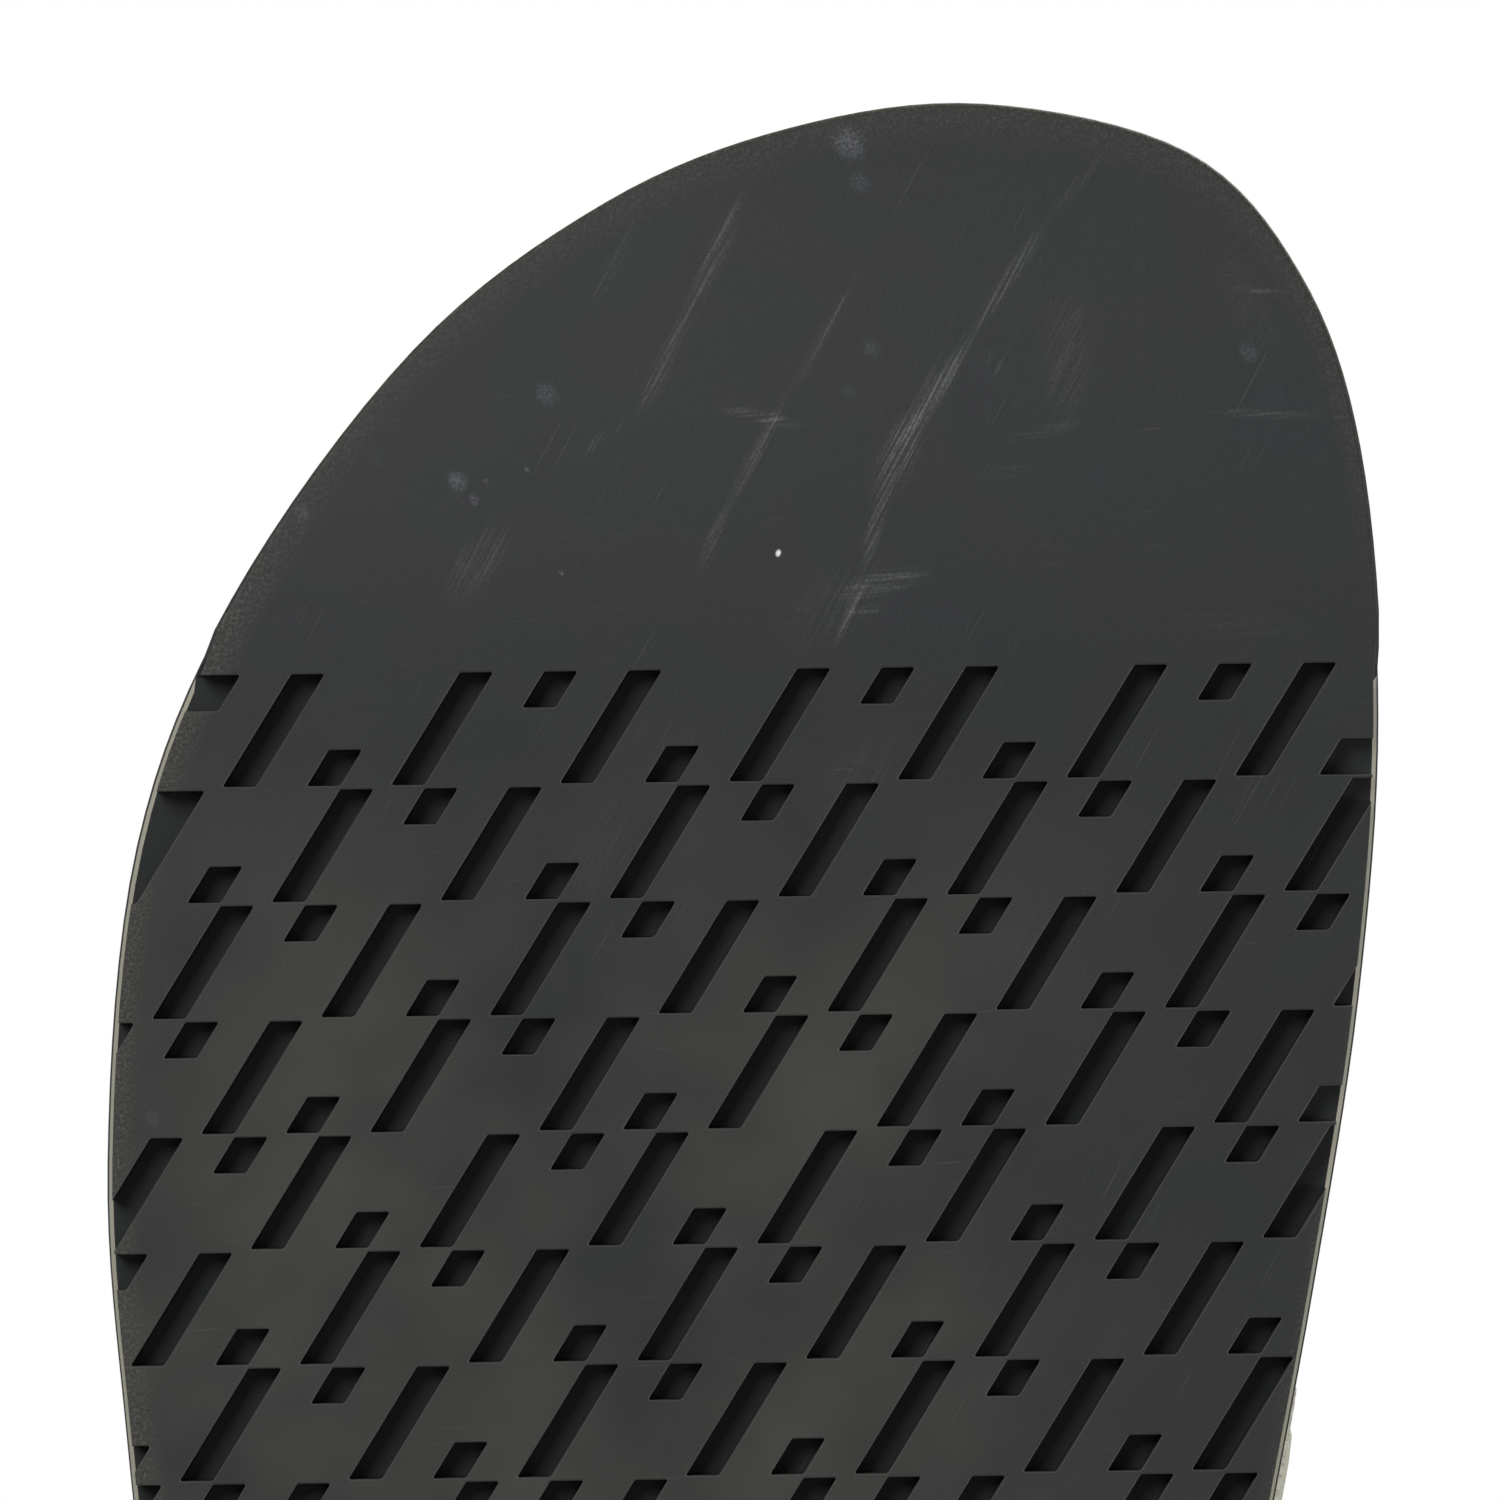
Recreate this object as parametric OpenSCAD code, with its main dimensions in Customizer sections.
// A slide sandal for the right foot, upright on its tread.
// The toe points to -Y, the inner side of the foot to +X, and the tread rests on Z = 0.
// Two padded bands cross the foot. Each is a short half from the outer side and a long
// flap from the inner side, and the flap closes over the half with hook and loop.

/* [Sole plan] */
// Length of the sole, toe to heel
sole_length = 285; // [230:1:345]
// Width of the sole at the ball of the foot
sole_width = 108.4; // [90:0.2:130]

/* [Sole profile] */
// Height of the tip of the toe over the ground
toe_spring = 9; // [4:0.5:12]
// Length of the front that curves up
toe_spring_length = 55; // [40:1:70]
// Height of the end of the heel over the ground
heel_spring = 1.5; // [0:0.1:3]
// Length of the heel end that curves up
heel_spring_length = 16; // [10:1:25]

/* [Sole layers] */
// Thickness of the outsole, tread included
outsole_t = 6; // [4.8:0.1:8]
// Thickness of the midsole under the toes
midsole_front_t = 6; // [4.8:0.1:9]
// Thickness of the midsole under the heel
midsole_heel_t = 17; // [12:0.5:22]
// Thickness of the insole board
board_t = 1.6; // [1:0.1:2.5]
// Thickness of the foam core of the footbed
core_t = 7; // [5:0.1:10]
// Thickness of the cover of the footbed
cover_t = 1.2; // [0.8:0.1:2]
// Distance of the footbed from the edge of the sole
footbed_inset = 3.4; // [3.2:0.1:5]
// Glue line between the layers of the footbed
glue_gap = 0.1; // [0.1:0.05:0.3]
// Height of the rim around the footbed
rim_rise = 3; // [1:0.5:5]
// Extra height of the rim around the heel
heel_cup_rise = 4; // [0:0.5:8]
// Height of the swell under the inner arch
arch_rise = 5; // [0:0.5:8]

/* [Tread] */
// Depth of the grooves
tread_depth = 2.7; // [1.5:0.1:3.5]
// Distance of the tread from the edge of its base
tread_inset = 0.6; // [0.3:0.1:1.5]
// Length of the smooth front before the first row
smooth_front = 48.4; // [35:0.1:70]
// Distance from row to row
row_pitch = 9.8; // [8:0.1:14]
// Land left between two rows
row_land = 0.3; // [0.2:0.1:1]
// Sideways shift from one row to the next
row_shift = 4.05; // [0:0.05:8]
// Distance between the long grooves of a row
groove_pitch = 14.3; // [12:0.1:20]
// Width of the grooves, along the row
groove_w = 2.85; // [2:0.05:4]
// Lean of the grooves away from the sole's length
groove_lean = 32; // [0:1:40]
// Length of the short notches
notch_l = 3.05; // [2:0.05:4]
// Turn of the rows against the sole's width
row_turn = -0.65; // [-3:0.05:3]

/* [Bands] */
// Distance from the toe to the front band, at the inner side
front_band_start = 109.5; // [95:0.5:130]
// Width of the front band
front_band_w = 40; // [30:1:48]
// Gap between the bands
band_gap = 14; // [10:1:24]
// Width of the instep band
instep_band_w = 36; // [30:1:44]
// How much further back the bands are at the outer side
band_skew = 11; // [6:1:18]
// Rise of the front band over the midsole, at its front edge
front_arch = 56; // [46:1:68]
// Rise of the front band at its rear edge
front_arch_rear = 64; // [50:1:76]
// Rise of the instep band at its front edge
instep_arch = 66; // [54:1:78]
// Rise of the instep band at its rear edge
instep_arch_rear = 71; // [56:1:84]
// Thickness of the lining
lining_t = 0.9; // [0.6:0.1:1.4]
// Thickness of the foam padding
padding_t = 1.2; // [0.8:0.1:2]
// Thickness of the outer leather
leather_t = 1.3; // [1:0.1:2]
// How far the foot of a band stands out of the sole's side
band_stand_out = 0.6; // [0.2:0.1:1.2]

/* [Closure] */
// Thickness of the loop patch
loop_t = 0.8; // [0.6:0.1:1.2]
// Thickness of the hook patch
hook_t = 0.8; // [0.6:0.1:1.2]
// Space between hook and loop
closure_gap = 0.35; // [0.3:0.05:0.6]
// Gap in the flaps at their fold lines
fold_gap = 0.3; // [0.3:0.05:0.5]

/* [Lasting tabs] */
// Length of the tab that is glued under the insole board
tab_l = 14; // [10:1:18]
// Thickness of the tab
tab_t = 1.6; // [1:0.1:2.2]
// Depth of the tab under the insole board
tab_sink = 0.8; // [0.8:0.1:1.2]
// Height of a band's foot over the midsole
foot_rise = 1.2; // [0.8:0.1:2]
// Clearance around a tab
tab_clear = 0.3; // [0.2:0.05:0.5]
// Seam between a tab and its band
tab_seam = 0.1; // [0.05:0.05:0.2]

/* [Hidden] */

rubber = [0.24, 0.25, 0.24];
foam = [0.2, 0.21, 0.2];
board = [0.72, 0.62, 0.48];
suede = [0.56, 0.55, 0.49];
leather = [0.73, 0.73, 0.67];
lining = [0.66, 0.65, 0.58];
closure = [0.3, 0.3, 0.28];

// ---- Plan of the sole ----
// Points around the sole as shares of its width and length, from the toe's tip down the
// inner side to the heel and back up the outer side. Both sides have as many points.
plan_w = 108.4;
plan_l = 285;
SIDE = 14;
PLAN = [[20.5, -142.5], [38, -138.3], [47.5, -127.8], [52.5, -112.8], [54.2, -90],
    [52.5, -66], [48.6, -41], [44, -16], [39.5, 12], [37, 45], [37, 78], [36.5, 104],
    [31, 126], [16, 139.5], [-2, 142.5], [-20, 139], [-34, 126], [-40.5, 104],
    [-42.5, 72], [-45.5, 38], [-49, 3], [-52.5, -28], [-54.2, -52], [-51.7, -79],
    [-43.4, -100], [-28.1, -121.2], [-11.8, -133.9], [4, -140.4]];
STEPS = 4;

function mix(a, b, t) = a + (b - a) * t;
function clamp(t) = max(0, min(1, t));
function ease(t) = let (c = clamp(t)) c * c * (3 - 2 * c);
function unit(v) = v / norm(v);

function plan_point(k) = let (p = PLAN[(k + len(PLAN)) % len(PLAN)])
    [p.x * sole_width / plan_w, p.y * sole_length / plan_l];

// A smooth closed curve through the plan's points.
function curve(a, b, c, d, t) = 0.5 * (2 * b + (c - a) * t
    + (2 * a - 5 * b + 4 * c - d) * t * t + (3 * b - a - 3 * c + d) * t * t * t);
RIM = [for (k = [0 : len(PLAN) - 1], s = [0 : STEPS - 1])
    curve(plan_point(k - 1), plan_point(k), plan_point(k + 1), plan_point(k + 2), s / STEPS)];
HEEL = SIDE * STEPS;

// The rim moved inwards by a distance.
function rim_at(i) = RIM[(i + len(RIM)) % len(RIM)];
function rim_point(i, inset) = let (along = unit(rim_at(i + 1) - rim_at(i - 1)))
    rim_at(i) + inset * [-along.y, along.x];
function rim(inset) = [for (i = [0 : len(RIM) - 1]) rim_point(i, inset)];

INNER = [for (i = [0 : HEEL]) [RIM[i].y, RIM[i].x]];
OUTER = [for (i = [HEEL : len(RIM)]) [RIM[i % len(RIM)].y, RIM[i % len(RIM)].x]];
function inner_x(y) = lookup(y, INNER);
function outer_x(y) = lookup(y, OUTER);

// ---- Side profile of the sole ----
half_l = sole_length / 2;
spring_y = -half_l + toe_spring_length;
heel_y = half_l - heel_spring_length;
wedge_y = -60 * sole_length / plan_l;
wedge_l = 120 * sole_length / plan_l;
BREAKS = concat(
    [for (s = [8 : -1 : 0]) spring_y - toe_spring_length * s / 8],
    [for (s = [0 : 10]) wedge_y + wedge_l * s / 10],
    [for (s = [0 : 3]) heel_y + heel_spring_length * s / 3]);

function square_of(t) = t * t;
function ground_z(y) = toe_spring * square_of(max(0, spring_y - y) / toe_spring_length)
    + heel_spring * square_of(max(0, y - heel_y) / heel_spring_length);
function midsole_t(y) = mix(midsole_front_t, midsole_heel_t, ease((y - wedge_y) / wedge_l));
function tread_z(y) = ground_z(y) + tread_depth;
function outsole_z(y) = ground_z(y) + outsole_t;
function midsole_z(y) = outsole_z(y) + midsole_t(y);
function board_z(y) = midsole_z(y) + board_t;

sole_room = 2 * midsole_heel_t + 4 * toe_spring;

// The space between two heights that change along the sole, across its whole width.
module between(low, high) {
    rotate([90, 0, 90])
        linear_extrude(sole_width + 2, center = true)
            polygon(concat(
                [for (y = BREAKS) [y, low(y)]],
                [for (k = [len(BREAKS) - 1 : -1 : 0]) [BREAKS[k], high(BREAKS[k])]]));
}

module sole_layer(inset, low, high) {
    intersection() {
        linear_extrude(sole_room) polygon(rim(inset));
        between(low, high);
    }
}

// ---- Tread ----
lean = tan(groove_lean);
groove_l = row_pitch - row_land;
rows = floor((sole_length - smooth_front - row_pitch / 2) / row_pitch);
columns = ceil(sole_width / groove_pitch);
first_groove_x = 4.6;

module slanted(x, y, l) {
    polygon([[x, y], [x + groove_w, y], [x + groove_w - l * lean, y + l], [x - l * lean, y + l]]);
}

function on_sole(x, y) = x > outer_x(y) && x < inner_x(y);

// Long grooves, with one short notch between each two, in turn at either end of the row.
module tread_recesses() {
    translate([first_groove_x, smooth_front - half_l])
        rotate(row_turn)
            for (r = [0 : rows - 1], c = [-columns : columns]) {
                x = r * row_shift + (c - floor(r * row_shift / groove_pitch)) * groove_pitch;
                y = r * row_pitch;
                low_notch = (r + c + 2 * columns) % 2;
                notch_y = low_notch * (groove_l - notch_l);
                notch_x = x + groove_pitch / 2 - notch_y * lean;
                far = smooth_front - half_l + y;
                if (on_sole(first_groove_x + x - groove_l * lean / 2, far + groove_l / 2))
                    slanted(x, y, groove_l);
                if (on_sole(first_groove_x + notch_x, far + notch_y + notch_l / 2))
                    slanted(notch_x, y + notch_y, notch_l);
            }
}

module outsole() {
    color(rubber) {
        sole_layer(0, function (y) tread_z(y), function (y) outsole_z(y));
        intersection() {
            linear_extrude(sole_room)
                difference() {
                    polygon(rim(tread_inset));
                    tread_recesses();
                }
            between(function (y) ground_z(y), function (y) tread_z(y));
        }
    }
}

// ---- Feet of the bands ----
half_edge_t = lining_t + leather_t;
band_t = half_edge_t + padding_t;

// A band is its front and rear edge on the inner side, its front and rear edge on the
// outer side, and the rise of its arch at the front and at the rear.
front_y = front_band_start - half_l;
instep_y = front_y + front_band_w + band_gap;
front_band = [front_y, front_y + front_band_w, front_y + band_skew,
    front_y + front_band_w + band_skew, front_arch, front_arch_rear];
instep_band = [instep_y, instep_y + instep_band_w, instep_y + band_skew,
    instep_y + instep_band_w + band_skew, instep_arch, instep_arch_rear];

foot_in = half_edge_t - band_stand_out;
function inner_foot(y) = [inner_x(y) - foot_in, y, midsole_z(y) + foot_rise];
function outer_foot(y) = [outer_x(y) + foot_in, y, midsole_z(y) + foot_rise];

// Moves a profile, drawn outwards and upwards from the inside of a band's foot, along the
// fold line from point a to point b. The profile's outward side is on the right of a to b.
module along_fold(a, b, extra) {
    run = unit(b - a);
    out = unit([-run.y, run.x, 0]);
    up = cross(run, out);
    multmatrix([
        [out.x, up.x, run.x, a.x - extra * run.x],
        [out.y, up.y, run.y, a.y - extra * run.y],
        [out.z, up.z, run.z, a.z - extra * run.z],
        [0, 0, 0, 1]])
        linear_extrude(norm(b - a) + 2 * extra) children();
}

tab_top = -foot_rise - tab_sink;

module tab_profile() {
    polygon([[-tab_l, tab_top], [0, tab_top], [0, -tab_seam], [half_edge_t, -tab_seam],
        [half_edge_t, tab_top - tab_t], [-tab_l, tab_top - tab_t]]);
}

module pocket_profile() {
    translate([-tab_l - tab_clear, tab_top - tab_t - tab_clear])
        square([tab_l + 2 * half_edge_t, tab_t + tab_l]);
}

module inner_tab(band) {
    color(lining)
        along_fold(inner_foot(band[1]), inner_foot(band[0]), 0) tab_profile();
}

module outer_tab(band) {
    color(lining)
        along_fold(outer_foot(band[2]), outer_foot(band[3]), 0) tab_profile();
}

module midsole() {
    color(foam)
        difference() {
            sole_layer(0, function (y) outsole_z(y), function (y) midsole_z(y));
            for (band = [front_band, instep_band]) {
                along_fold(inner_foot(band[1]), inner_foot(band[0]), tab_clear) pocket_profile();
                along_fold(outer_foot(band[2]), outer_foot(band[3]), tab_clear) pocket_profile();
            }
        }
}

module insole_board() {
    color(board)
        sole_layer(footbed_inset, function (y) midsole_z(y), function (y) board_z(y));
}

// ---- Footbed ----
ACROSS = [0, 0.03, 0.09, 0.2, 0.38, 0.62, 0.8, 0.91, 0.97, 1];
BED_ROWS = HEEL - 1;

// The swell over the flat footbed: a rim all round, a deep cup at the heel and the arch.
function bed_swell(s, y) = let (
        end = square_of(square_of(y / half_l)),
        open = 4 * s * (1 - s) * (1 - end),
        rim_h = rim_rise + heel_cup_rise * ease((y - 40) / 70)
    ) rim_h * (1 - ease(open * 2.2))
        + arch_rise * ease(1 - abs(y - 15) / 60) * square_of(1 - s) * (1 - end);

// A layer that follows the footbed, lifted from low to high over the insole board.
module bed_layer(low, high) {
    n = len(ACROSS);
    spots = [for (i = [1 : BED_ROWS], s = ACROSS)
        concat(mix(rim_point(i, footbed_inset), rim_point(-i, footbed_inset), s), [s])];
    m = len(spots);
    function place(p, h) = [p.x, p.y, board_z(p.y) + h(p[2], p.y)];
    function at(i, j) = i * n + j;
    polyhedron(
        points = concat([for (p = spots) place(p, high)], [for (p = spots) place(p, low)]),
        faces = concat(
            [for (i = [0 : BED_ROWS - 2], j = [0 : n - 2]) each [
                [at(i, j), at(i, j + 1), at(i + 1, j)],
                [at(i, j + 1), at(i + 1, j + 1), at(i + 1, j)],
                [m + at(i, j), m + at(i + 1, j), m + at(i, j + 1)],
                [m + at(i, j + 1), m + at(i + 1, j), m + at(i + 1, j + 1)]]],
            [for (i = [0 : BED_ROWS - 2]) each [
                [at(i, 0), at(i + 1, 0), m + at(i + 1, 0)],
                [at(i, 0), m + at(i + 1, 0), m + at(i, 0)],
                [at(i, n - 1), m + at(i + 1, n - 1), at(i + 1, n - 1)],
                [at(i, n - 1), m + at(i, n - 1), m + at(i + 1, n - 1)]]],
            [for (j = [0 : n - 2]) each [
                [at(0, j), m + at(0, j), m + at(0, j + 1)],
                [at(0, j), m + at(0, j + 1), at(0, j + 1)],
                [at(BED_ROWS - 1, j), m + at(BED_ROWS - 1, j + 1), m + at(BED_ROWS - 1, j)],
                [at(BED_ROWS - 1, j), at(BED_ROWS - 1, j + 1), m + at(BED_ROWS - 1, j + 1)]]]));
}

module footbed_core() {
    color(foam)
        bed_layer(function (s, y) glue_gap, function (s, y) core_t + bed_swell(s, y));
}

module footbed_cover() {
    color(suede)
        bed_layer(function (s, y) core_t + bed_swell(s, y),
            function (s, y) core_t + cover_t + bed_swell(s, y));
}

// ---- Bands ----
// A band's surface runs in equal steps of angle from the outer foot, step 0, over the top
// to the inner foot. Its lanes run from the front edge to the rear edge.
ARC = 24;
LANES = [0, 0.06, 0.14, 0.5, 0.86, 0.94, 1];
FULLNESS = [0, 0.15, 1, 1, 1, 0.15, 0];
last_lane = len(LANES) - 1;
half_end = 12;
flap_end = 5;
fold = 22;
shoulder = 0.85;

function soft_power(v) = sign(v) * pow(abs(v), shoulder);

// The inside of the band at share u of the arch and share v of the width.
function arch(band, u, v) = let (
        a = mix(outer_foot(band[2]), outer_foot(band[3]), v),
        b = mix(inner_foot(band[0]), inner_foot(band[1]), v),
        rise = mix(band[4], band[5], v) * soft_power(sin(180 * u))
    ) mix(a, b, (1 - soft_power(cos(180 * u))) / 2) + [0, 0, rise];

function band_normal(band, u, v) = let (
        e = 0.004,
        over = arch(band, min(1, u + e), v) - arch(band, max(0, u - e), v),
        back = arch(band, u, min(1, v + e)) - arch(band, u, max(0, v - e))
    ) unit(cross(over, back));

function band_point(band, i, j, d) =
    arch(band, i / ARC, LANES[j]) + d * band_normal(band, i / ARC, LANES[j]);

// A closed sheet over some steps and lanes of a band, between two heights over its inside.
// Its last step may be cut back by a part of a step.
module band_sheet(band, first, last, lane, to_lane, low, high, cut_back = 0) {
    w = to_lane - lane + 1;
    l = last - first + 1;
    m = l * w;
    function at(i, j) = i * w + j;
    function place(i, j, d) = band_point(band, i - (i == last ? cut_back : 0), j, d);
    polyhedron(
        points = concat(
            [for (i = [first : last], j = [lane : to_lane]) place(i, j, high(i, j))],
            [for (i = [first : last], j = [lane : to_lane]) place(i, j, low(i, j))]),
        faces = concat(
            [for (i = [0 : l - 2], j = [0 : w - 2]) each [
                [at(i, j), at(i, j + 1), at(i + 1, j)],
                [at(i, j + 1), at(i + 1, j + 1), at(i + 1, j)],
                [m + at(i, j), m + at(i + 1, j), m + at(i, j + 1)],
                [m + at(i, j + 1), m + at(i + 1, j), m + at(i + 1, j + 1)]]],
            [for (i = [0 : l - 2]) each [
                [at(i, 0), at(i + 1, 0), m + at(i + 1, 0)],
                [at(i, 0), m + at(i + 1, 0), m + at(i, 0)],
                [at(i, w - 1), m + at(i + 1, w - 1), at(i + 1, w - 1)],
                [at(i, w - 1), m + at(i, w - 1), m + at(i + 1, w - 1)]]],
            [for (j = [0 : w - 2]) each [
                [at(0, j), m + at(0, j), m + at(0, j + 1)],
                [at(0, j), m + at(0, j + 1), at(0, j + 1)],
                [at(l - 1, j), m + at(l - 1, j + 1), m + at(l - 1, j)],
                [at(l - 1, j), at(l - 1, j + 1), m + at(l - 1, j + 1)]]]));
}

// The foam thins out at every edge of a band.
function foam_t(i, j, end, foot) = (i == end || i == foot) ? 0 : padding_t * FULLNESS[j];
function half_foam(i, j) = foam_t(i, j, half_end, 0);
function flap_foam(i, j) = foam_t(i, j, flap_end, ARC);
function fold_cut(band) = fold_gap
    / norm(arch(band, fold / ARC, 0.5) - arch(band, (fold - 1) / ARC, 0.5));

// The flap rides over the end of the half and comes down to the foot beyond it. Its tip
// and its edges, which have no patch under them, droop towards the half.
closed_stack = band_t + loop_t + closure_gap + hook_t;
edge_droop = closure_gap + hook_t + padding_t;
DROOP = [1, 0.85, 0, 0, 0, 0.85, 1];
function flap_base(i, j) = let (droop = max(DROOP[j], i == flap_end ? 0.6 : 0))
    (closed_stack - droop * edge_droop) * ease((half_end + 4.5 - i) / 4);

module half_lining(band) {
    color(lining)
        band_sheet(band, 0, half_end, 0, last_lane,
            function (i, j) 0, function (i, j) lining_t);
}

module half_padding(band) {
    color(foam)
        band_sheet(band, 1, half_end - 1, 1, last_lane - 1,
            function (i, j) lining_t, function (i, j) lining_t + half_foam(i, j));
}

module half_leather(band) {
    color(leather)
        band_sheet(band, 0, half_end, 0, last_lane,
            function (i, j) lining_t + half_foam(i, j),
            function (i, j) half_edge_t + half_foam(i, j));
}

module loop_patch(band) {
    color(closure)
        band_sheet(band, flap_end + 1, half_end - 1, 2, last_lane - 2,
            function (i, j) band_t, function (i, j) band_t + loop_t);
}

module flap_lining(band) {
    color(lining)
        band_sheet(band, flap_end, fold, 0, last_lane,
            function (i, j) flap_base(i, j), function (i, j) flap_base(i, j) + lining_t,
            fold_cut(band));
}

module flap_padding(band) {
    color(foam)
        band_sheet(band, flap_end + 1, fold, 1, last_lane - 1,
            function (i, j) flap_base(i, j) + lining_t,
            function (i, j) flap_base(i, j) + lining_t + flap_foam(i, j),
            fold_cut(band));
}

module flap_leather(band) {
    color(leather)
        band_sheet(band, flap_end, fold, 0, last_lane,
            function (i, j) flap_base(i, j) + lining_t + flap_foam(i, j),
            function (i, j) flap_base(i, j) + half_edge_t + flap_foam(i, j),
            fold_cut(band));
}

// The root of a flap is the short stretch between the sole and its fold line.
module root_lining(band) {
    color(lining)
        band_sheet(band, fold, ARC, 0, last_lane,
            function (i, j) 0, function (i, j) lining_t);
}

module root_padding(band) {
    color(foam)
        band_sheet(band, fold, ARC - 1, 1, last_lane - 1,
            function (i, j) lining_t, function (i, j) lining_t + flap_foam(i, j));
}

module root_leather(band) {
    color(leather)
        band_sheet(band, fold, ARC, 0, last_lane,
            function (i, j) lining_t + flap_foam(i, j),
            function (i, j) half_edge_t + flap_foam(i, j));
}

module hook_patch(band) {
    color(closure)
        band_sheet(band, flap_end + 1, half_end - 1, 2, last_lane - 2,
            function (i, j) flap_base(i, j) - hook_t, function (i, j) flap_base(i, j));
}

// The line that a flap turns about: the outer face of the leather along its fold.
for (band = [front_band, instep_band])
    echo(fold_line = [band_point(band, fold, 0, band_t), band_point(band, fold, last_lane, band_t)]);

outsole();
midsole();
insole_board();
footbed_core();
footbed_cover();
inner_tab(front_band);  // front_inner_tab
outer_tab(front_band);  // front_outer_tab
half_lining(front_band);  // front_half_lining
half_padding(front_band);  // front_half_padding
half_leather(front_band);  // front_half_leather
loop_patch(front_band);  // front_loop_patch
root_lining(front_band);  // front_root_lining
root_padding(front_band);  // front_root_padding
root_leather(front_band);  // front_root_leather
flap_lining(front_band);  // front_flap_lining
flap_padding(front_band);  // front_flap_padding
flap_leather(front_band);  // front_flap_leather
hook_patch(front_band);  // front_hook_patch
inner_tab(instep_band);  // instep_inner_tab
outer_tab(instep_band);  // instep_outer_tab
half_lining(instep_band);  // instep_half_lining
half_padding(instep_band);  // instep_half_padding
half_leather(instep_band);  // instep_half_leather
loop_patch(instep_band);  // instep_loop_patch
root_lining(instep_band);  // instep_root_lining
root_padding(instep_band);  // instep_root_padding
root_leather(instep_band);  // instep_root_leather
flap_lining(instep_band);  // instep_flap_lining
flap_padding(instep_band);  // instep_flap_padding
flap_leather(instep_band);  // instep_flap_leather
hook_patch(instep_band);  // instep_hook_patch
